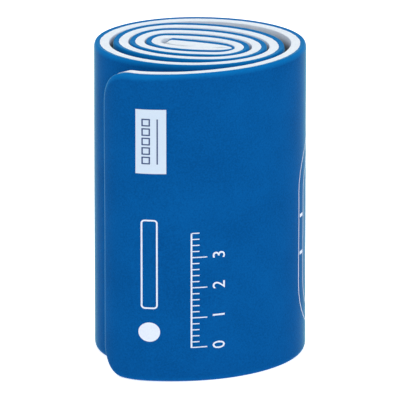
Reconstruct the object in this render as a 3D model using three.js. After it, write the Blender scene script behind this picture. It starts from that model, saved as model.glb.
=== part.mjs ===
import * as THREE from 'three';

// Rolled padded splint: one long padded strip, blue foam outside and white foam inside, wound clockwise
// seen from above and stood on its long edge. Millimetres, Z up, X to the right, the viewer at minus Y.

// The flat strip
const stripLength = 609.6;
const stripWidth = 101.6;
const outerCornerRadius = 11;
const innerCornerRadius = 2.5;

// The pad, from the outer face inwards
const blueThickness = 1.85;
const bondGap = 0.2;
const whiteThickness = 2.85;
const padThickness = blueThickness + bondGap + whiteThickness;

// Rounding of each foam's rim on its open face: across the pad and down the face
const blueShoulderWidth = 0.4;
const blueShoulderDrop = 1.8;
const whiteShoulderWidth = 0.5;
const whiteShoulderDrop = 0.5;

// The paper label on the flap, measured from the free end and from the upper edge
const labelWidth = 9.2;
const labelHeight = 21.2;
const labelThickness = 0.2;
const labelGap = 0.15;
const labelEndInset = 13.8;
const labelTopInset = 11.1;

// How finely the curves are cut into flats
const facetAngle = THREE.MathUtils.degToRad(10);
const facetLength = 6;
const traceStep = 0.25;
const cornerSteps = 5;

// Where the roll reaches furthest on each side, quarter turn by quarter turn from the core outwards.
// reach is the distance of the bond line from the middle, and slide how far on that point lies in the
// winding direction. Both are shares of the pad's thickness. The last two rows stand further out, where
// the free end of the strip springs away from the roll. endHandle makes the arc that ends there fuller.
const quarterTurns = [
  { side: 'right', reach: 1.78, slide: 0.22 },
  { side: 'front', reach: 0.93, slide: -1.06 },
  { side: 'left', reach: 3.16, slide: 1.26 },
  { side: 'back', reach: 2.73, slide: -2.2 },
  { side: 'right', reach: 2.85, slide: 0.21 },
  { side: 'front', reach: 2.01, slide: -0.98 },
  { side: 'left', reach: 4.23, slide: 1.2 },
  { side: 'back', reach: 4.1, slide: -1.91 },
  { side: 'right', reach: 3.98, slide: 0.09 },
  { side: 'front', reach: 3.19, slide: -0.59 },
  { side: 'left', reach: 5.29, slide: 1.27 },
  { side: 'back', reach: 5.45, slide: -1.53 },
  { side: 'right', reach: 5.12, slide: -0.02 },
  { side: 'front', reach: 4.6, slide: 0.42 },
  { side: 'left', reach: 6.54, slide: 1.16 },
  { side: 'back', reach: 7.03, slide: -0.28 },
  { side: 'right', reach: 6.53, slide: -0.97 },
  { side: 'front', reach: 6.74, slide: 2.11 },
  { side: 'left', reach: 7, slide: 5.09, endHandle: 0.97 },
];
const sideOut = {
  right: new THREE.Vector2(1, 0),
  front: new THREE.Vector2(0, -1),
  left: new THREE.Vector2(-1, 0),
  back: new THREE.Vector2(0, 1),
};
const sidesPerTurn = 4;
// A strip too long for the table goes on round the roll, one pad and a little air further out each turn
const extraTurnShare = 1.07;

// The inner end of the strip, in shares of the pad's thickness, and the way it points
const coreStart = new THREE.Vector2(-2.02, 1.67).multiplyScalar(padThickness);
const coreHeading = new THREE.Vector2(1, 0).rotateAround(new THREE.Vector2(), THREE.MathUtils.degToRad(-18.3));

// Handle length that makes a cubic curve follow a quarter of an ellipse
const ellipseHandleShare = 0.5523;

// The winding runs clockwise, so it leaves each side along that side's outward direction turned right
function headingAt(out) {
  return new THREE.Vector2(out.y, -out.x);
}

// One row of the table, or the row that follows by rule beyond its end
function quarterTurn(index) {
  if (index < quarterTurns.length) {
    return quarterTurns[index];
  }
  const inner = quarterTurn(index - sidesPerTurn);
  return { ...inner, reach: inner.reach + extraTurnShare };
}

// A quarter of an ellipse from one point and heading to the next, or a fuller arc with a longer end handle
function quarterArc(start, startHeading, end, endHeading, endHandleShare = ellipseHandleShare) {
  const chord = end.clone().sub(start);
  const startHandle = Math.abs(chord.dot(startHeading)) * ellipseHandleShare;
  const endHandle = Math.abs(chord.dot(endHeading)) * endHandleShare;
  return new THREE.CubicBezierCurve(
    start,
    start.clone().addScaledVector(startHeading, startHandle),
    end.clone().addScaledVector(endHeading, -endHandle),
    end,
  );
}

// The bond line between the two foams, as long as the strip or a little longer
function woundPath() {
  const path = new THREE.CurvePath();
  let point = coreStart;
  let heading = coreHeading;
  for (let index = 0, wound = 0; wound < stripLength; index += 1) {
    const row = quarterTurn(index);
    const out = sideOut[row.side];
    const nextHeading = headingAt(out);
    const next = out.clone().multiplyScalar(row.reach * padThickness);
    next.addScaledVector(nextHeading, row.slide * padThickness);
    path.add(quarterArc(point, heading, next, nextHeading, row.endHandle));
    wound = path.getLength();
    point = next;
    heading = nextHeading;
  }
  return path;
}

// Close marks along a path: each has its point, its outward direction and its distance along the strip
function trace(path) {
  const points = path.getSpacedPoints(Math.ceil(path.getLength() / traceStep));
  let distance = 0;
  return points.map((point, index) => {
    const before = points[Math.max(index - 1, 0)];
    const after = points[Math.min(index + 1, points.length - 1)];
    distance += index > 0 ? point.distanceTo(before) : 0;
    const along = after.clone().sub(before).normalize();
    return { point, distance, out: new THREE.Vector2(-along.y, along.x) };
  });
}

const bond = trace(woundPath());

// The point at a distance along the strip and a height out of the bond line
function onRoll(distance, height) {
  const place = Math.max(bond.findIndex((mark) => mark.distance >= distance), 1);
  const before = bond[place - 1];
  const after = bond[place];
  const share = (distance - before.distance) / (after.distance - before.distance);
  const out = before.out.clone().lerp(after.out, share).normalize();
  return before.point.clone().lerp(after.point, share).addScaledVector(out, height);
}

// Distances along the strip where the roll is cut into flats: short ones where it bends
function facetDistances(from, to) {
  const distances = [from];
  let last = bond.find((mark) => mark.distance >= from);
  for (const mark of bond) {
    const inside = mark.distance > from && mark.distance < to - traceStep;
    const turned = Math.acos(THREE.MathUtils.clamp(mark.out.dot(last.out), -1, 1));
    if (inside && (turned >= facetAngle || mark.distance - last.distance >= facetLength)) {
      distances.push(mark.distance);
      last = mark;
    }
  }
  return [...distances, to];
}

// The strip's outline as columns across it. Each gives its distance along the strip and its half width
// once the outline is drawn in by an inset, so that the four corners stay round.
function stripColumns() {
  const straightHalf = stripWidth / 2;
  const corner = Array.from({ length: cornerSteps }, (_, step) => (step / cornerSteps) * (Math.PI / 2));
  const fromEnd = (cornerRadius, angle, inset) => ({
    distance: cornerRadius - (cornerRadius - inset) * Math.cos(angle),
    half: straightHalf - cornerRadius + (cornerRadius - inset) * Math.sin(angle),
  });
  const innerCorner = (angle) => (inset) => fromEnd(innerCornerRadius, angle, inset);
  const outerCorner = (angle) => (inset) => {
    const { distance, half } = fromEnd(outerCornerRadius, angle, inset);
    return { distance: stripLength - distance, half };
  };
  const straight = facetDistances(innerCornerRadius, stripLength - outerCornerRadius);
  return [
    ...corner.map(innerCorner),
    ...straight.map((distance) => (inset) => ({ distance, half: straightHalf - inset })),
    ...corner.reverse().map(outerCorner),
  ];
}

// The rim of a foam, from its bonded face up to its open face: a straight wall, then a quarter of an ellipse
function rim(thickness, shoulderWidth, shoulderDrop, steps) {
  const rows = [{ inset: 0, height: 0 }];
  for (let step = 0; step <= steps; step += 1) {
    const angle = (step / steps) * (Math.PI / 2);
    rows.push({
      inset: shoulderDrop * (1 - Math.cos(angle)),
      height: thickness - shoulderWidth + shoulderWidth * Math.sin(angle),
    });
  }
  return rows;
}

// Each vertex of a box that is columns by 1 by rows is given the place of its column, side and row.
// On the outer face of the roll the side of 1 is the lower edge, which keeps the faces pointing out.
function bendBox(columns, rows, place) {
  const box = new THREE.BoxGeometry(1, 2, 1, columns, 1, rows);
  const position = box.getAttribute('position');
  for (let index = 0; index < position.count; index += 1) {
    const column = Math.round((position.getX(index) + 0.5) * columns);
    const row = Math.round((position.getZ(index) + 0.5) * rows);
    position.setXYZ(index, ...place(column, position.getY(index), row));
  }
  box.computeVertexNormals();
  return box;
}

// A foam layer wound on the bond line: outward is 1 for the outer foam and -1 for the inner one
function foamLayer(columns, rows, outward) {
  return bendBox(columns.length - 1, rows.length - 1, (column, side, row) => {
    const { inset, height } = rows[row];
    const { distance, half } = columns[column](inset);
    const point = onRoll(distance, outward * (bondGap / 2 + height));
    return [point.x, point.y, stripWidth / 2 - outward * side * half];
  });
}

// The label is a thin sheet that follows the flap's outer face
function labelSheet() {
  const far = stripLength - labelEndInset;
  const columns = facetDistances(far - labelWidth, far);
  const middle = stripWidth - labelTopInset - labelHeight / 2;
  const under = bondGap / 2 + blueThickness + labelGap;
  return bendBox(columns.length - 1, 1, (column, side, row) => {
    const point = onRoll(columns[column], under + row * labelThickness);
    return [point.x, point.y, middle - (side * labelHeight) / 2];
  });
}

const blueFoam = new THREE.MeshStandardMaterial({ color: 0x0e5cac, roughness: 0.62, metalness: 0 });
const whiteFoam = new THREE.MeshStandardMaterial({ color: 0xf0f4fa, roughness: 0.85, metalness: 0 });
const labelPaper = new THREE.MeshStandardMaterial({ color: 0xcde1f5, roughness: 0.5, metalness: 0 });

function piece(name, geometry, material) {
  const mesh = new THREE.Mesh(geometry, material);
  mesh.name = name;
  return mesh;
}

const columns = stripColumns();
const blueRim = rim(blueThickness, blueShoulderWidth, blueShoulderDrop, 3);
const whiteRim = rim(whiteThickness, whiteShoulderWidth, whiteShoulderDrop, 2);
const roll = new THREE.Group();
roll.add(piece('blue_foam', foamLayer(columns, blueRim, 1), blueFoam));
roll.add(piece('white_foam', foamLayer(columns, whiteRim, -1), whiteFoam));
roll.add(piece('label', labelSheet(), labelPaper));

// The part's origin is on the floor, under the middle of the roll
const reach = new THREE.Box3().setFromObject(roll);
const middle = reach.getCenter(new THREE.Vector3());
roll.position.set(-middle.x, -middle.y, -reach.min.z);

const splint = new THREE.Group();
splint.add(roll);

export default splint;
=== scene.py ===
import math

import bmesh
import bpy
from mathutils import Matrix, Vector, noise


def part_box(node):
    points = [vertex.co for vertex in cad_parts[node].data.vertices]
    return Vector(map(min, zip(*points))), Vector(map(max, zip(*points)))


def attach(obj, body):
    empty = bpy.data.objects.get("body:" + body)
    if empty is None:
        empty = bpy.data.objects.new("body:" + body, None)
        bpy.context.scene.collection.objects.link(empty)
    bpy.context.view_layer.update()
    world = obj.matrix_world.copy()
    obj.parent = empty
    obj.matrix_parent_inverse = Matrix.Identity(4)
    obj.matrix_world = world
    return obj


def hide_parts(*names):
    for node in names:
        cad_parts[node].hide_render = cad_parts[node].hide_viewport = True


# Rolled padded splint: blue foam outside, white foam inside, stood on its long edge. Metres, Z up.
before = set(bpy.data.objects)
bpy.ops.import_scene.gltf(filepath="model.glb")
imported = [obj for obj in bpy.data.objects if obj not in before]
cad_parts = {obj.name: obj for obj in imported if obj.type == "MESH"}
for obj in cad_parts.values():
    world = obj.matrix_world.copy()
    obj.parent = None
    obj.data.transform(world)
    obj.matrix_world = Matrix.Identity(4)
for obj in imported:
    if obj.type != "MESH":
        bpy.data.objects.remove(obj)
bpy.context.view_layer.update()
mm = 0.001
print("frame loaded")

# The flat strip and the two foams bonded along it
strip = {
    "length": 609.6 * mm,
    "width": 101.6 * mm,
    "outerCorner": 11.8 * mm,
    "footCorner": 9.6 * mm,  # the free end's lower corner is a little fuller
    "innerCorner": 2.5 * mm,
    "pad": 4.9 * mm,
    "stationSpacing": 0.6 * mm,
    "cornerSteps": 22,
    "crowding": 0.25,  # share by which the rows across the strip crowd towards its middle
    "sharpOver": 50,  # degrees, edges sharper than this aren't smoothed
}

# The line between the foams is ragged at the cut rims, the same for both
wobble = {
    "depth": 0.11 * mm,
    "size": 1.5 * mm,
    "fineDepth": 0.6,  # a finer wander on top of it, in shares of the first
    "finePitch": 2.3,
    "reach": 2.5 * mm,  # it fades out this far below the rim
    "seed": (0.3, 7.1),
}

# Where the bond line between the foams reaches furthest on each side, in shares of the pad
winding = {
    "quarterTurns": [
        ("right", 2.06, 0.45),
        ("front", 0.93, -1.06),
        ("left", 3.16, 1.26),
        ("back", 2.73, -2.2),
        ("right", 2.85, 0.21),
        ("front", 2.01, -0.98),
        ("left", 4.23, 1.2),
        ("back", 4.1, -1.91),
        ("right", 3.98, 0.09),
        ("front", 3.19, -0.59),
        ("left", 5.29, 1.27),
        ("back", 5.45, -1.53),
        ("right", 5.12, -0.02),
        ("front", 4.6, 0.42),
        ("left", 6.54, 1.16),
        ("back", 7.03, -0.28),
        ("right", 6.53, -0.97),
        ("front", 6.74, 2.11),
        ("left", 7.0, 5.09),
    ],
    "coreStart": (-2.27, 1.75),
    "coreHeading": -18.3,  # degrees
    "handle": 0.5523,
    "noseHandle": 0.3,  # a shorter handle where the innermost turn is folded sharply
    "flapHandle": 0.97,  # a longer one where the free end turns back
    "arcSteps": 240,
    "markSpacing": 0.25 * mm,
    "stretch": 1.0046,  # the line is this much longer than the strip that lies on it
}
sideOut = {"right": Vector((1, 0)), "front": Vector((0, -1)), "left": Vector((-1, 0)), "back": Vector((0, 1))}


def quarterArc(start, startHeading, end, endHeading, startHandle, endHandle):  # points of a quarter turn
    chord = end - start
    first = start + startHeading * abs(chord.dot(startHeading)) * startHandle
    second = end - endHeading * abs(chord.dot(endHeading)) * endHandle
    points = []
    for step in range(1, winding["arcSteps"] + 1):
        t = step / winding["arcSteps"]
        u = 1 - t
        points.append(start * u**3 + first * (3 * u * u * t) + second * (3 * u * t * t) + end * t**3)
    return points


def evenly(points, spacing):  # the same line with marks an even distance apart
    even, left = [points[0]], spacing
    for here, there in zip(points, points[1:]):
        step = (there - here).length
        while step >= left:
            here = here.lerp(there, left / step)
            even.append(here)
            step = (there - here).length
            left = spacing
        left -= step
    return even


def outwardOf(points, index):  # away from the middle of the roll, square to the line
    along = (points[min(index + 1, len(points) - 1)] - points[max(index - 1, 0)]).normalized()
    return Vector((-along.y, along.x))


def woundLine():  # the bond line in plan, moved so that the blue foam fills its CAD box
    angle = math.radians(winding["coreHeading"])
    point = Vector(winding["coreStart"]) * strip["pad"]
    heading = Vector((math.cos(angle), math.sin(angle)))
    points = [point]
    handle = winding["handle"]
    ownHandles = {0: winding["noseHandle"], len(winding["quarterTurns"]) - 1: winding["flapHandle"]}
    for row, (side, reach, slide) in enumerate(winding["quarterTurns"]):
        out = sideOut[side]
        nextHeading = Vector((out.y, -out.x))
        nextPoint = (out * reach + nextHeading * slide) * strip["pad"]
        nextHandle = ownHandles.get(row, winding["handle"])
        points += quarterArc(point, heading, nextPoint, nextHeading, handle, nextHandle)
        point, heading, handle = nextPoint, nextHeading, nextHandle
    points = evenly(points, winding["markSpacing"])
    last = round(strip["length"] * winding["stretch"] / winding["markSpacing"])
    face = [points[i] + outwardOf(points, i) * foams["blue"]["outer"] for i in range(last)]
    low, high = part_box("blue_foam")
    for axis in (0, 1):
        middle = (min(p[axis] for p in face) + max(p[axis] for p in face)) / 2
        shift = (low[axis] + high[axis]) / 2 - middle
        for p in points:
            p[axis] += shift
    return points


# Each foam: its open face stands off the bond line by outer. Its cut edge lies setBack under the strip's edge
# and rises by slope up to the open face, then rounds over shoulder across the pad and drop down the face.
# Folding pinches it at the nose.
foams = {
    "blue": {
        "outer": 1.95 * mm, "shoulder": 0.45 * mm, "drop": 1.8 * mm, "setBack": 0.0, "slope": 0.25 * mm,
        "pinch": 0.5, "roundSteps": 7, "wallSteps": 4, "levels": 30, "outward": 1,
    },
    "white": {
        "outer": 2.95 * mm, "shoulder": 0.3 * mm, "drop": 0.25 * mm, "setBack": 0.25 * mm, "slope": 0.0,
        "pinch": 0.6, "roundSteps": 3, "wallSteps": 5, "levels": 20, "outward": -1,
    },
}
shadedFootCut = 0.25  # how much of the cut's paler blue shows at the foot: little, a painted shade that keeps the lower rim darker than the upper one
# What changes along the strip: where it begins, and how far it takes to come in
endNarrowing = {"depth": 0.3 * mm, "over": 36 * mm}  # the strip's edges draw in towards the free end
looseRim = {"rounder": 1.6, "from": 375 * mm, "over": 50 * mm}  # a wider shoulder where nothing presses it
gapShadeStops = {"from": 500 * mm, "over": 50 * mm}  # the white face of the free end is in the open, so the painted gap shade fades out here
freeEdge = {"whiteUp": 0.12 * mm, "blueDown": 0.5 * mm, "over": 30 * mm}  # the free end's upper edge
nose = {"at": 23.5 * mm, "blue": 2.2 * mm, "white": 4.0 * mm}  # the sharp fold, and how far it pinches

# Inside the innermost turn nothing presses the white foam, so it swells until its two faces all but meet
coreSwell = {
    "most": 4.7 * mm,
    "air": 0.08 * mm,
    "from": 0.5 * mm,
    "over": 3.5 * mm,
    "until": 36 * mm,
    "fade": 6 * mm,
    "opposite": 60 * mm,  # the facing part of the strip lies before this distance
    "apart": 8 * mm,  # and at least this far along from the place itself
}


def rimRows(foam):  # from the bond line to the open face: up the slope, then a quarter round
    wall = foam["outer"] - foam["shoulder"]
    shares = [step / foam["wallSteps"] for step in range(foam["wallSteps"])]
    rows = [(foam["setBack"] + foam["slope"] * (1 - share), wall * share) for share in shares]
    for step in range(foam["roundSteps"] + 1):
        angle = math.pi / 2 * step / foam["roundSteps"]
        inset = foam["setBack"] + foam["drop"] * (1 - math.cos(angle))
        rows.append((inset, wall + foam["shoulder"] * math.sin(angle)))
    return rows


def stripColumns():  # each column gives its distance along the strip and half width for an inset
    inner, outer = strip["innerCorner"], strip["outerCorner"]
    half, length = strip["width"] / 2, strip["length"]

    def fromEnd(radius, angle, inset):
        left = radius - inset
        return radius - left * math.cos(angle), half - radius + left * math.sin(angle)

    def innerPlace(angle):
        return lambda inset: fromEnd(inner, angle, inset)

    def straightPlace(s):
        over = endNarrowing["over"]
        narrowed = endNarrowing["depth"] * smoothRise(s, length - outer - over, over)
        return lambda inset: (s, half - inset - narrowed)

    def outerPlace(angle):
        def place(inset):
            d, reach = fromEnd(outer, angle, inset)
            return length - d, reach - endNarrowing["depth"] * math.sin(angle)

        return place

    angles = [math.pi / 2 * step / strip["cornerSteps"] for step in range(strip["cornerSteps"])]
    count = round((length - inner - outer) / strip["stationSpacing"])
    straight = [inner + (length - inner - outer) * step / count for step in range(count + 1)]
    return (
        [innerPlace(angle) for angle in angles]
        + [straightPlace(s) for s in straight]
        + [outerPlace(angle) for angle in reversed(angles)]
    )


def fullerFoot(s, inset):  # how much lower the free end's lower corner reaches than its upper one
    def drawnIn(radius):
        far = radius - min(radius, strip["length"] - s)
        return radius - math.sqrt(max(0.0, (radius - inset) ** 2 - far * far))

    return drawnIn(strip["outerCorner"]) - drawnIn(strip["footCorner"])


def freeEdgeRise(foam, s, height):  # at the free end the blue edge lies lower than the white one
    share = smoothRise(s, strip["length"] - freeEdge["over"], freeEdge["over"] / 2)
    if foam["outward"] < 0:
        return share * freeEdge["whiteUp"]
    return -share * freeEdge["blueDown"] * height / foam["outer"]


def swollen(s):  # how many times thicker the white foam is, up to halfway to the turn across from it
    here = round(s * winding["stretch"] / winding["markSpacing"])
    point, inward = linePoints[here], -outwardOf(linePoints, here)
    room = coreSwell["most"]
    for mark in range(round(coreSwell["opposite"] / winding["markSpacing"])):
        if abs(mark - here) * winding["markSpacing"] > coreSwell["apart"]:
            across = linePoints[mark] - point
            if across.dot(inward) > 0:
                room = min(room, across.length_squared / (2 * across.dot(inward)) - coreSwell["air"])
    grown = max(0.0, room - foams["white"]["outer"]) / foams["white"]["outer"]
    begun = smoothRise(s, coreSwell["from"], coreSwell["over"])
    return 1 + grown * begun * (1 - smoothRise(s, coreSwell["until"], coreSwell["fade"]))


def smoothRise(value, start, over):  # from 0 to 1
    share = min(1.0, max(0.0, (value - start) / over))
    return share * share * (3 - 2 * share)


def heightAt(foam, s, height):  # a row's height at a place along the strip
    if foam["outward"] < 0:
        return height * swollen(s) if s < coreSwell["until"] + coreSwell["fade"] else height
    rounder = 1 + (looseRim["rounder"] - 1) * smoothRise(s, looseRim["from"], looseRim["over"])
    wall = foam["outer"] - foam["shoulder"]
    if height <= wall:
        return height * (foam["outer"] - rounder * foam["shoulder"]) / wall
    return foam["outer"] - rounder * (foam["outer"] - height)


def wobbleAt(s, below):
    fade = max(0.0, 1 - below / wobble["reach"])
    at = Vector((s / wobble["size"], *wobble["seed"]))
    fine = wobble["fineDepth"] * noise.noise(at * wobble["finePitch"])
    return wobble["depth"] * fade * (noise.noise(at) + fine)


def flatFoam(name, foam, reach):  # as it lies flat: X along the strip, Y out of the bond line, Z across
    columns, rows, levels = stripColumns(), rimRows(foam), foam["levels"]
    lastColumn, lastRow = len(columns) - 1, len(rows) - 1
    points, cuts, covered, indexAt = [], [], [], {}

    def quad(c, k, r, first, second):  # the face that spans two steps from one point of the grid
        corners = ((0, 0, 0), first, tuple(a + b for a, b in zip(first, second)), second)
        return [indexAt[c + dc, k + dk, r + dr] for dc, dk, dr in corners]

    for c, column in enumerate(columns):
        for r, (inset, height) in enumerate(rows):
            s, half = column(inset)
            foot, rise = fullerFoot(s, inset), freeEdgeRise(foam, s, height)
            bonded = 1 - height / foam["outer"]
            pinched = 1 - foam["pinch"] * math.exp(-(((s - nose["at"]) / reach) ** 2))
            out = foam["outward"] * heightAt(foam, s, height) * pinched
            for k in range(levels + 1):
                atEnd, atEdge = c in (0, lastColumn), k in (0, levels)
                if atEnd or atEdge or r in (0, lastRow):
                    t = 2 * k / levels - 1
                    crowded = strip["crowding"] * (math.sin(t * math.pi / 2) - t)
                    level = half * (t + crowded)
                    below = min(half - abs(level) + inset, s, strip["length"] - s)
                    level += min(0.0, t) * foot + max(0.0, t) * rise
                    indexAt[c, k, r] = len(points)
                    points.append((s, out + wobbleAt(s, below) * bonded, strip["width"] / 2 + level))
                    # where the white foam's painted gap shade applies: all but the free end
                    covered.append(1 - smoothRise(s, gapShadeStops["from"], gapShadeStops["over"]))
                    # the cut's paler blue over the cut face and its shoulder: partly the cut's own tone,
                    # partly a painted highlight
                    cut = max(0.0, 1 - inset / foam["drop"]) if r < lastRow and (atEnd or atEdge) else 0.0
                    cuts.append(cut * (shadedFootCut if k == 0 else 1))
    faces = []
    for c in range(lastColumn):
        faces += [quad(c, k, r, (1, 0, 0), (0, 1, 0)) for k in range(levels) for r in (0, lastRow)]
        faces += [quad(c, k, r, (1, 0, 0), (0, 0, 1)) for r in range(lastRow) for k in (0, levels)]
    for k in range(levels):
        faces += [quad(c, k, r, (0, 1, 0), (0, 0, 1)) for r in range(lastRow) for c in (0, lastColumn)]
    mesh = bpy.data.meshes.new(name)
    mesh.from_pydata(points, [], faces)
    mesh.attributes.new("cutShare", "FLOAT", "POINT").data.foreach_set("value", cuts)
    mesh.attributes.new("covered", "FLOAT", "POINT").data.foreach_set("value", covered)
    shell = bmesh.new()
    shell.from_mesh(mesh)
    bmesh.ops.recalc_face_normals(shell, faces=shell.faces)
    shell.to_mesh(mesh)
    shell.free()
    piece = bpy.data.objects.new(name, mesh)
    bpy.context.collection.objects.link(piece)
    return piece


# Rolling up: soft dents in the outermost turn, gentler ones inside
rolling = {
    "Dent Depth": 0.22 * mm,
    "Dent Size": 42 * mm,
    "Dent Seed": 4.0,
    "Inner Dents": 0.3,  # share of the dents that is left inside
    "Loose From": 400 * mm,  # distance along the strip where the outermost turn begins
    "Loose Over": 60 * mm,
    "Stretch": winding["stretch"],
    "Flare": 0.005,  # the roll spreads by this share towards its foot
}


def rollTree():
    tree = bpy.data.node_groups.new("rollUp", "GeometryNodeTree")
    kinds = {"Strip": "Geometry", "Bond Line": "Object", "Finish": "Material"}
    for name in (*kinds, *rolling):
        tree.interface.new_socket(name, in_out="INPUT", socket_type="NodeSocket" + kinds.get(name, "Float"))
    tree.interface.new_socket("Roll", in_out="OUTPUT", socket_type="NodeSocketGeometry")

    def node(kind, settings, inputs):
        made = tree.nodes.new(kind)
        for name, value in settings.items():
            setattr(made, name, value)
        for name, value in inputs.items():
            if isinstance(value, bpy.types.NodeSocket):
                tree.links.new(value, made.inputs[name])
            else:
                made.inputs[name].default_value = value
        return made.outputs

    def maths(operation, first, second):
        return node("ShaderNodeMath", {"operation": operation}, {0: first, 1: second})[0]

    def vector(operation, first, second=(0, 0, 0)):
        return node("ShaderNodeVectorMath", {"operation": operation}, {0: first, 1: second})[0]

    def scaled(first, scale):
        return node("ShaderNodeVectorMath", {"operation": "SCALE"}, {0: first, "Scale": scale})[0]

    given = node("NodeGroupInput", {}, {})
    place = node("GeometryNodeInputPosition", {}, {})["Position"]
    x, y, z = node("ShaderNodeSeparateXYZ", {}, {0: place})
    across = node("ShaderNodeCombineXYZ", {}, {"X": x, "Z": z})["Vector"]
    dents = node("ShaderNodeTexNoise", {"noise_dimensions": "4D"}, {
        "Vector": across, "W": given["Dent Seed"], "Detail": 1.0,
        "Scale": maths("DIVIDE", 1.0, given["Dent Size"]),
    })[0]
    loose = node("ShaderNodeMapRange", {"interpolation_type": "SMOOTHSTEP"}, {
        "Value": x, "To Min": given["Inner Dents"], "To Max": 1.0,
        "From Min": given["Loose From"], "From Max": maths("ADD", given["Loose From"], given["Loose Over"]),
    })["Result"]
    dent = maths("MULTIPLY", maths("SUBTRACT", dents, 0.5), given["Dent Depth"])
    dent = maths("MULTIPLY", dent, maths("MULTIPLY", loose, 2.0))
    curve = node("GeometryNodeObjectInfo", {"transform_space": "ORIGINAL"}, {"Object": given["Bond Line"]})
    sample = node("GeometryNodeSampleCurve", {"mode": "LENGTH"}, {
        "Curves": curve["Geometry"], "Length": maths("MULTIPLY", x, given["Stretch"]),
    })
    out = vector("NORMALIZE", vector("CROSS_PRODUCT", (0, 0, 1), sample["Tangent"]))
    plan = vector("ADD", sample["Position"], scaled(out, maths("ADD", y, dent)))
    footward = maths("SUBTRACT", 1.0, maths("DIVIDE", z, strip["width"]))
    plan = scaled(plan, maths("ADD", 1.0, maths("MULTIPLY", given["Flare"], footward)))
    rolled = vector("ADD", plan, node("ShaderNodeCombineXYZ", {}, {"Z": z})["Vector"])
    roll = node("GeometryNodeSetPosition", {}, {"Geometry": given["Strip"], "Position": rolled})["Geometry"]
    real = node("GeometryNodeRealizeInstances", {}, {"Geometry": roll})["Geometry"]
    coated = node("GeometryNodeSetMaterial", {}, {"Geometry": real, "Material": given["Finish"]})["Geometry"]
    node("NodeGroupOutput", {}, {"Roll": coated})
    return tree


def rollUp(piece, finish):  # winds a flat piece on the bond line and leaves a plain mesh at the origin
    roll = piece.modifiers.new("rollUp", "NODES")
    roll.node_group = rollUpTree
    values = dict(rolling, **{"Bond Line": bondLine, "Finish": finish})
    for item in rollUpTree.interface.items_tree:
        if item.in_out == "INPUT" and item.name in values:
            roll[item.identifier] = values[item.name]
    graph = bpy.context.evaluated_depsgraph_get()
    wound = piece.evaluated_get(graph)
    mesh = bpy.data.meshes.new_from_object(wound, preserve_all_data_layers=True, depsgraph=graph)
    piece.modifiers.remove(roll)
    flat = piece.data
    piece.data = mesh
    bpy.data.meshes.remove(flat)
    mesh.name = piece.name
    mesh.shade_smooth()
    mesh.set_sharp_from_angle(angle=math.radians(strip["sharpOver"]))
    return piece


# Shader maths: a socket that takes part in plain arithmetic, each operator adding its Math node
class Signal:
    def __init__(self, tree, socket=None):
        self.tree, self.socket = tree, socket

    def node(self, kind, settings, inputs, out=0):
        made = self.tree.nodes.new(kind)
        for name, value in settings.items():
            setattr(made, name, value)
        for name, value in inputs.items():
            if isinstance(value, Signal):
                self.tree.links.new(value.socket, made.inputs[name])
            else:
                made.inputs[name].default_value = value
        return Signal(self.tree, made.outputs[out] if made.outputs else None)

    def maths(self, operation, first, second):
        return self.node("ShaderNodeMath", {"operation": operation}, {0: first, 1: second})

    def __add__(self, other):
        return self.maths("ADD", self, other)

    def __radd__(self, other):
        return self.maths("ADD", other, self)

    def __sub__(self, other):
        return self.maths("SUBTRACT", self, other)

    def __rsub__(self, other):
        return self.maths("SUBTRACT", other, self)

    def __mul__(self, other):
        return self.maths("MULTIPLY", self, other)

    def __rmul__(self, other):
        return self.maths("MULTIPLY", other, self)


def linear(red, green, blue):  # a colour as screens name it, as the shaders take it
    shares = (red / 255, green / 255, blue / 255)
    return (*(v / 12.92 if v <= 0.04045 else ((v + 0.055) / 1.055) ** 2.4 for v in shares), 1)


def newFinish(name):
    material = bpy.data.materials.new(name)
    material.use_nodes = True
    material.node_tree.nodes.clear()
    return material, Signal(material.node_tree)


def blend(start, share, first, second):  # a colour between two
    return start.node("ShaderNodeMix", {"data_type": "RGBA"}, {0: share, 6: first, 7: second}, out=2)


def spread(start, value, low, high):  # stretches a narrow range to the whole one
    return start.node("ShaderNodeMapRange", {}, {"Value": value, "From Min": low, "From Max": high})


def meshShare(start, name):  # an attribute of the mesh, from 0 to 1
    return start.node("ShaderNodeAttribute", {"attribute_name": name}, {}, out="Fac")


def bumpOf(start, height, strength, distance):
    inputs = {"Strength": strength, "Distance": distance, "Height": height}
    return start.node("ShaderNodeBump", {}, inputs, out="Normal")


def closeFinish(start, inputs):
    shader = start.node("ShaderNodeBsdfPrincipled", {}, inputs)
    start.node("ShaderNodeOutputMaterial", {}, {"Surface": shader})


def grain(start, size, detail, rough):  # soft noise of one size of speck, from 0 to 1
    place = start.node("ShaderNodeTexCoord", {}, {}, out="Object")
    inputs = {"Vector": place, "Scale": 1 / size, "Detail": detail, "Roughness": rough}
    return start.node("ShaderNodeTexNoise", {}, inputs)


blueLook = {
    "deep": linear(5, 73, 135),
    "pale": linear(8, 87, 155),
    # the cut rims' paler blue: partly the cut foam's own tone, partly a painted highlight on the rounded
    # shoulder where the top light falls
    "cut": linear(12, 118, 191),
    "speck": (0.55 * mm, 3.0, 0.6),  # size, detail and roughness of the noise
    "cloud": (14 * mm, 2.0, 0.5),
    "cloudShare": 0.3,  # how much of the mottling is the large kind
    "toneRange": (0.35, 0.65),
    "cutAndHighlightMix": 0.85,
    "roughness": 0.3,
    "speckRoughness": 0.12,
    "cutRoughness": 0.15,
    "bump": 0.06 * mm,
    "bumpStrength": 0.7,
    "sheen": {"IOR": 1.02, "Sheen Weight": 0.5, "Sheen Roughness": 0.24, "Sheen Tint": (0.4, 1.0, 0.9, 1)},
}


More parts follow.
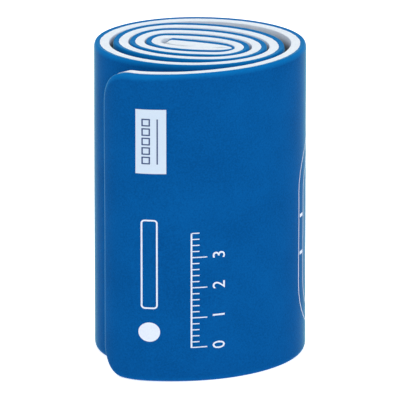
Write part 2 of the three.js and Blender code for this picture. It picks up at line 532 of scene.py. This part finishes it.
def blueFinish():
    material, start = newFinish("blueFoamSkin")
    speck = grain(start, *blueLook["speck"])
    cloud = grain(start, *blueLook["cloud"])
    # partly painted highlight: the paler cut blue over the rims and their shoulders
    cut = meshShare(start, "cutShare")
    tone = speck * (1 - blueLook["cloudShare"]) + cloud * blueLook["cloudShare"]
    skin = blend(start, spread(start, tone, *blueLook["toneRange"]), blueLook["deep"], blueLook["pale"])
    colour = blend(start, cut * blueLook["cutAndHighlightMix"], skin, blueLook["cut"])
    roughness = blueLook["speckRoughness"] * (speck - 0.5) + blueLook["cutRoughness"] * cut
    closeFinish(start, {
        "Base Color": colour, "Roughness": blueLook["roughness"] + roughness,
        "Normal": bumpOf(start, speck, blueLook["bumpStrength"], blueLook["bump"]),
        **blueLook["sheen"],
    })
    return material


whiteLook = {
    "foam": linear(240, 248, 254),
    "shade": linear(226, 236, 247),
    "paintedGapShade": linear(64, 76, 60),  # painted shade: the open face turns this dark down in the gaps, for the shade there; the foam itself is white
    "gapShadeFrom": 0.4 * mm,
    "gapShadeTo": 5.0 * mm,
    "gapShadeShare": 0.9,
    "cell": (0.35 * mm, 2.0, 0.65),
    "cloud": (5 * mm, 2.0, 0.5),
    "cloudShare": 0.25,
    "toneRange": (0.35, 0.6),
    "roughness": 0.8,
    "cellRoughness": 0.1,
    "bump": 0.08 * mm,
    "bumpStrength": 0.6,
}


def whiteFinish():
    material, start = newFinish("whiteFoamCells")
    cell = grain(start, *whiteLook["cell"])
    cloud = grain(start, *whiteLook["cloud"])
    tone = cell * (1 - whiteLook["cloudShare"]) + cloud * whiteLook["cloudShare"]
    colour = blend(start, spread(start, tone, *whiteLook["toneRange"]), whiteLook["shade"], whiteLook["foam"])
    # Painted shade: a little way below either rim the white foam darkens, for the shade down in the gaps, but
    # not at the free end
    place = start.node("ShaderNodeTexCoord", {}, {}, out="Object")
    height = start.node("ShaderNodeSeparateXYZ", {}, {0: place}, out="Z")
    below = height.maths("MINIMUM", height, strip["width"] - height)
    gapShadeMask = start.node("ShaderNodeMapRange", {"interpolation_type": "SMOOTHSTEP"}, {
        "Value": below, "To Max": whiteLook["gapShadeShare"],
        "From Min": whiteLook["gapShadeFrom"], "From Max": whiteLook["gapShadeTo"],
    })
    closeFinish(start, {
        "Base Color": blend(start, gapShadeMask * meshShare(start, "covered"), colour, whiteLook["paintedGapShade"]),
        "Roughness": whiteLook["roughness"] + whiteLook["cellRoughness"] * (cell - 0.5),
        "Normal": bumpOf(start, cell, whiteLook["bumpStrength"], whiteLook["bump"]),
        "Specular IOR Level": 0.1,
    })
    return material


inkLook = {
    "white": {"colour": linear(216, 226, 242), "roughness": 0.5, "worn": 0.08},
    "navy": {"colour": linear(26, 58, 112), "roughness": 0.5, "worn": 0.0},
    "paper": {"colour": linear(195, 212, 230), "roughness": 0.42, "worn": 0.04},
    "speck": (0.4 * mm, 3.0, 0.6),
    "speckRoughness": 0.1,
    "toneRange": (0.3, 0.55),
    "bump": 0.02 * mm,
    "bumpStrength": 0.3,
}


def inkFinish(name, ink):
    material, start = newFinish(name)
    speck = grain(start, *inkLook["speck"])
    dim = (*(v * (1 - ink["worn"]) for v in ink["colour"][:3]), 1)
    closeFinish(start, {
        "Base Color": blend(start, spread(start, speck, *inkLook["toneRange"]), dim, ink["colour"]),
        "Roughness": ink["roughness"] + inkLook["speckRoughness"] * (speck - 0.5),
        "Normal": bumpOf(start, speck, inkLook["bumpStrength"], inkLook["bump"]),
    })
    return material


blueMaterial, whiteMaterial = blueFinish(), whiteFinish()
printMaterial = inkFinish("whitePrint", inkLook["white"])
navyMaterial = inkFinish("navyPrint", inkLook["navy"])
paperMaterial = inkFinish("labelPaper", inkLook["paper"])
print("finishes made")

# The bond line as a curve for the rolling tree; it goes once everything is rolled
linePoints = woundLine()
lineCurve = bpy.data.curves.new("bondLine", "CURVE")
lineCurve.dimensions = "3D"
lineSpline = lineCurve.splines.new("POLY")
lineSpline.points.add(len(linePoints) - 1)
for mark, point in zip(lineSpline.points, linePoints):
    mark.co = (point.x, point.y, 0, 1)
bondLine = bpy.data.objects.new("bondLine", lineCurve)
bpy.context.collection.objects.link(bondLine)
rollUpTree = rollTree()
print("bond line:", len(linePoints), "marks")

blueSkin = rollUp(flatFoam("blueSkin", foams["blue"], nose["blue"]), blueMaterial)
whitePadding = rollUp(flatFoam("whitePadding", foams["white"], nose["white"]), whiteMaterial)
print("foams rolled:", len(blueSkin.data.polygons), "and", len(whitePadding.data.polygons), "faces")


# Thin flat work on the blue face: outlines in millimetres, distance from the free end and height
sheetCuts = {"alongStep": strip["stationSpacing"], "upStep": 3 * mm, "weld": 1e-6, "near": 1e-7}


class Sheet:
    def __init__(self):
        self.shape = bmesh.new()

    def face(self, outline):
        corners = [self.shape.verts.new((strip["length"] - d * mm, 0, h * mm)) for d, h in outline]
        self.shape.faces.new(corners)

    def bar(self, near, far, low, high):
        self.face([(near, low), (far, low), (far, high), (near, high)])

    def ring(self, inner, outer):  # a closed line between two outlines of as many points
        count = len(inner)
        for i in range(count):
            j = (i + 1) % count
            self.face([inner[i], inner[j], outer[j], outer[i]])

    def cutUp(self, way, low, high, step):  # so that the sheet can bend with the roll
        for cut in range(1, int((high - low) / step) + 1):
            everything = self.shape.verts[:] + self.shape.edges[:] + self.shape.faces[:]
            at = way * (low + cut * step)
            bmesh.ops.bisect_plane(
                self.shape, geom=everything, plane_co=at, plane_no=way, dist=sheetCuts["near"]
            )

    def finish(self, name, under, thickness, finish):
        bmesh.ops.remove_doubles(self.shape, verts=self.shape.verts, dist=sheetCuts["weld"])
        first = min(v.co.x for v in self.shape.verts)
        last = max(v.co.x for v in self.shape.verts)
        self.cutUp(Vector((1, 0, 0)), first, last, sheetCuts["alongStep"])
        self.cutUp(Vector((0, 0, 1)), 0, strip["width"], sheetCuts["upStep"])
        for v in self.shape.verts:
            v.co.y = under
        grown = bmesh.ops.extrude_face_region(self.shape, geom=self.shape.faces[:], use_keep_orig=True)
        for v in (g for g in grown["geom"] if isinstance(g, bmesh.types.BMVert)):
            v.co.y = under + thickness
        bmesh.ops.recalc_face_normals(self.shape, faces=self.shape.faces)
        mesh = bpy.data.meshes.new(name)
        self.shape.to_mesh(mesh)
        self.shape.free()
        piece = bpy.data.objects.new(name, mesh)
        bpy.context.collection.objects.link(piece)
        return rollUp(piece, finish)


def roundedBox(near, far, low, high, radius, steps=8):  # always as many points, whatever its size
    outline = []
    for quarter, (d, h) in enumerate(((far, high), (near, high), (near, low), (far, low))):
        centre = (d - radius if d == far else d + radius, h - radius if h == high else h + radius)
        for step in range(steps + 1):
            angle = math.pi / 2 * (quarter + step / steps)
            outline.append((centre[0] + radius * math.cos(angle), centre[1] + radius * math.sin(angle)))
    return outline


def frameLine(sheet, near, far, low, high, radius, line):  # a closed line of one width, drawn inwards
    inner = roundedBox(near + line, far - line, low + line, high - line, max(radius - line, 0.05))
    sheet.ring(inner, roundedBox(near, far, low, high, radius))


def numeral(sheet, text, size, distance, height):  # reads upwards, centred on its place
    words = bpy.data.curves.new("numeral", "FONT")
    words.body, words.size, words.align_x, words.align_y = text, size, "CENTER", "CENTER"
    words.resolution_u = 3
    holder = bpy.data.objects.new("numeral", words)
    bpy.context.collection.objects.link(holder)
    flat = bpy.data.meshes.new_from_object(holder.evaluated_get(bpy.context.evaluated_depsgraph_get()))
    for polygon in flat.polygons:
        corners = [flat.vertices[i].co for i in polygon.vertices]
        sheet.face([(distance - corner.y, height + corner.x) for corner in corners])
    bpy.data.meshes.remove(flat)
    bpy.data.objects.remove(holder)
    bpy.data.curves.remove(words)


# The paper label near the free end, with tick boxes and a ruled line
labelPlan = {
    "near": 14.2, "far": 23.25, "low": 69.15, "high": 90.1,
    "thickness": 0.14, "sunk": 0.04,
    "boxes": 5, "box": 2.5, "boxAt": 15.9, "boxCorner": 0.15,
    "ruleAt": 20.3, "line": 0.42,
    "margin": 3.1, "spare": 5.5,  # bare paper below the first box, and in all
    "inkThickness": 0.05, "inkSunk": 0.03,
}


def makeLabel():
    plan, face = labelPlan, foams["blue"]["outer"]
    paper = Sheet()
    paper.bar(plan["near"], plan["far"], plan["low"], plan["high"])
    thickness = (plan["thickness"] + plan["sunk"]) * mm
    sticker = paper.finish("labelSticker", face - plan["sunk"] * mm, thickness, paperMaterial)
    marks = Sheet()
    first, last = plan["low"] + plan["margin"], plan["high"] - plan["margin"]
    pitch = (plan["high"] - plan["low"] - plan["spare"]) / plan["boxes"]
    near, far = plan["boxAt"], plan["boxAt"] + plan["box"]
    for box in range(plan["boxes"]):
        low = first + box * pitch
        frameLine(marks, near, far, low, low + plan["box"], plan["boxCorner"], plan["line"])
    marks.bar(plan["ruleAt"], plan["ruleAt"] + plan["line"], first, last)
    under = face + (plan["thickness"] - plan["inkSunk"]) * mm
    ruled = marks.finish("labelMarks", under, plan["inkThickness"] * mm, navyMaterial)
    return sticker, ruled


labelSticker, labelMarks = makeLabel()

# White print on the blue face: a write-on field and a dot, a plain scale, and a nest of long rings
printPlan = {
    "under": -0.04, "thickness": 0.075, "hair": 0.32, "line": 0.5, "bold": 1.1,
    "field": (15.6, 20.6, 24.5, 54.0, 1.2),  # near, far, low, high, corner
    "dot": (14.9, 21.3, 13.6, 20.0, 3.19),
    "scaleAt": 30.6, "scaleLow": 11.4, "ticks": 20, "tickPitch": 2, "longTick": 4.6, "shortTick": 2.2,
    "numbers": 4, "numberSize": 5.6, "numberAt": 39.6, "numberLow": 11.9, "numberPitch": 10,
    "nest": (73.5, 107.5), "nestCorner": 16.9,
    "rings": ((0, 7.5, 72.0), (4.4, 12.5, 66.0), (9.2, 18.0, 60.0)),  # inset, low, high
    "strokes": (34.0, 46.5), "strokeAt": (74.6, 77.2),
}


def makePrint():
    plan, sheet = printPlan, Sheet()
    hair, line = plan["hair"], plan["line"]
    frameLine(sheet, *plan["field"], line)
    sheet.face(roundedBox(*plan["dot"], steps=10))
    base, foot = plan["scaleAt"] + line, plan["scaleLow"]
    sheet.bar(plan["scaleAt"], base, foot, foot + (plan["ticks"] - 1) * plan["tickPitch"])
    for tick in range(plan["ticks"]):
        low = foot + tick * plan["tickPitch"] - (hair / 2 if tick else 0)
        sheet.bar(base, base + (plan["shortTick"] if tick % 5 else plan["longTick"]), low, low + hair)
    for number in range(plan["numbers"]):
        height = plan["numberLow"] + number * plan["numberPitch"]
        numeral(sheet, str(number), plan["numberSize"], plan["numberAt"], height)
    near, far = plan["nest"]
    for inset, low, high in plan["rings"]:
        frameLine(sheet, near + inset, far - inset, low, high, plan["nestCorner"] - inset, hair)
    for low in plan["strokes"]:
        sheet.bar(*plan["strokeAt"], low, low + plan["bold"])
    under = foams["blue"]["outer"] + plan["under"] * mm
    return sheet.finish("printedMarks", under, plan["thickness"] * mm, printMaterial)


printedMarks = makePrint()
print("label and print made")

bpy.data.objects.remove(bondLine)
bpy.data.curves.remove(lineCurve)

# What each piece rides on; the foams and the label hide the CAD parts they stand for
for piece, node in ((blueSkin, "blue_foam"), (whitePadding, "white_foam"), (labelSticker, "label")):
    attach(piece, "root")
    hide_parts(node)
for piece, slot in ((labelMarks, "label"), (printedMarks, "blue_foam")):
    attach(piece, "root")
print("pieces declared")

# A plain pale floor, soft light from above and around
studio = {
    "floorRadius": 8.0,
    "floorSteps": 96,
    "floor": linear(250, 250, 250),
    "floorGlow": 0.6,
    "sky": 0.3,
    "aim": (0.0, 0.0, 0.05),  # the lamps all point here
    "lamps": [  # name, place, size, watts
        ("overhead", (0.0, -0.6, 2.2), 1.6, 17),
        ("frontKey", (0.7, -2.7, 1.25), 1.0, 18),
        ("leftHigh", (-2.0, -0.4, 1.5), 1.2, 10),
        ("rightHigh", (2.0, -0.4, 1.5), 1.2, 10),
        ("leftEdge", (-1.1, 2.3, 0.9), 1.4, 16),
        ("rightEdge", (1.1, 2.3, 0.9), 1.4, 16),
    ],
}


def makeStudio():
    disc = bmesh.new()
    bmesh.ops.create_circle(disc, cap_ends=True, segments=studio["floorSteps"], radius=studio["floorRadius"])
    mesh = bpy.data.meshes.new("floor")
    disc.to_mesh(mesh)
    disc.free()
    floor = bpy.data.objects.new("floor", mesh)
    bpy.context.collection.objects.link(floor)
    material, start = newFinish("paleFloor")
    closeFinish(start, {
        "Base Color": studio["floor"], "Roughness": 0.9, "Specular IOR Level": 0.0,
        "Emission Color": (1, 1, 1, 1), "Emission Strength": studio["floorGlow"],
    })
    mesh.materials.append(material)
    world = bpy.data.worlds.new("paleRoom")
    world.use_nodes = True
    world.node_tree.nodes["Background"].inputs["Color"].default_value = (1, 1, 1, 1)
    world.node_tree.nodes["Background"].inputs["Strength"].default_value = studio["sky"]
    bpy.context.scene.world = world
    for name, place, size, watts in studio["lamps"]:
        lamp = bpy.data.lights.new(name, "AREA")
        lamp.size, lamp.energy = size, watts
        holder = bpy.data.objects.new(name, lamp)
        bpy.context.collection.objects.link(holder)
        holder.location = place
        towards = Vector(studio["aim"]) - Vector(place)
        holder.rotation_euler = towards.to_track_quat("-Z", "Y").to_euler()
        holder.visible_camera = False


makeStudio()

cameraPlan = {
    "place": (0.0, -1.80428, 0.58789),
    "below": 16.6,  # degrees that it looks down
    "lens": 526.9,
    "sensor": 36,
}
lens = bpy.data.cameras.new("camera")
lens.lens, lens.sensor_width = cameraPlan["lens"], cameraPlan["sensor"]
camera = bpy.data.objects.new("camera", lens)
bpy.context.collection.objects.link(camera)
camera.location = cameraPlan["place"]
camera.rotation_euler = (math.radians(90 - cameraPlan["below"]), 0, 0)
bpy.context.scene.camera = camera
bpy.context.scene.view_settings.view_transform = "Standard"
print("studio and camera made")

bpy.context.view_layer.update()
